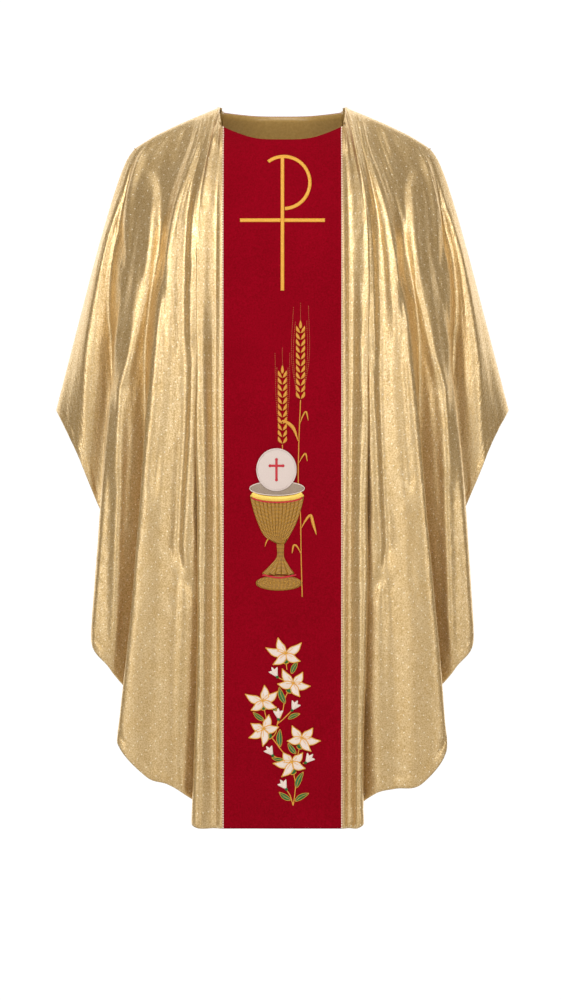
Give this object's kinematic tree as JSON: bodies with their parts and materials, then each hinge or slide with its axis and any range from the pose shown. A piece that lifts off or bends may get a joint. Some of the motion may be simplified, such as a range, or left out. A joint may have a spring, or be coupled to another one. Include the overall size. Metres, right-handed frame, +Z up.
{
  "type": "chasuble",
  "caption": "Gothic chasuble of gold lame with a crimson orphrey down front and back, embroidered with an emblem, wheat, a chalice and host, and lilies; draped as worn.",
  "frame": {"origin": "on the axis of the wearer's neck, at the height where the garment lies on the shoulders beside the neck", "axes": "+Z up, +X to the wearer's left, the front faces -Y"},
  "size_m": [0.812, 0.2929, 1.2781],
  "materials": {
    "gold_lame": "woven metallic lame, satin sheen with a fine sparkle and small raised dots",
    "crimson_cloth": "matte crimson cloth with a fine nap",
    "satin_lining": "smooth satin",
    "stiffening": "matte woven stiffening",
    "piping_cord": "twisted pale cord",
    "gold_thread": "satin stitch",
    "old_gold_thread": "dense tatami stitch",
    "white_thread": "satin stitch",
    "grey_thread": "open stitch",
    "red_thread": "satin stitch",
    "green_thread": "satin stitch"
  },
  "bodies": {
    "root": {"back_emblem_bow": "gold_thread", "back_emblem_left_arm": "gold_thread", "back_emblem_right_arm": "gold_thread", "back_emblem_upright": "gold_thread", "back_left_lame_panel": "gold_lame", "back_left_piping": "piping_cord", "back_lining": "satin_lining", "back_neck_facing": "satin_lining", "back_orphrey": "crimson_cloth", "back_orphrey_stiffening": "stiffening", "back_right_lame_panel": "gold_lame", "back_right_piping": "piping_cord", "chalice_bowl": "old_gold_thread", "chalice_foot": "old_gold_thread", "chalice_foot_line": "red_thread", "chalice_mouth": "grey_thread", "chalice_rim_band": "gold_thread", "chalice_rim_line": "red_thread", "chalice_stem": "old_gold_thread", "front_emblem_bow": "gold_thread", "front_emblem_left_arm": "gold_thread", "front_emblem_right_arm": "gold_thread", "front_emblem_upright": "gold_thread", "front_left_lame_panel": "gold_lame", "front_left_piping": "piping_cord", "front_lining": "satin_lining", "front_neck_facing": "satin_lining", "front_orphrey": "crimson_cloth", "front_orphrey_stiffening": "stiffening", "front_right_lame_panel": "gold_lame", "front_right_piping": "piping_cord", "host": "white_thread", "host_cross": "red_thread", "left_shoulder_stay_tape": "stiffening", "lily_1": "white_thread", "lily_2": "white_thread", "lily_3": "white_thread", "lily_4": "white_thread", "lily_5": "white_thread", "lily_6": "white_thread", "lily_bud_1": "white_thread", "lily_bud_2": "white_thread", "lily_bud_3": "white_thread", "lily_bud_4": "white_thread", "lily_bud_5": "white_thread", "lily_bud_6": "white_thread", "lily_stems_and_leaves": "green_thread", "right_shoulder_stay_tape": "stiffening", "wheat_leaf_large_left": "gold_thread", "wheat_leaf_large_right": "gold_thread", "wheat_leaf_lower": "gold_thread", "wheat_leaf_middle": "gold_thread", "wheat_leaf_upper": "gold_thread", "wheat_short_ear": "gold_thread", "wheat_short_stalk": "gold_thread", "wheat_tall_ear": "gold_thread", "wheat_tall_stalk": "gold_thread"}
  },
  "joints": []
}
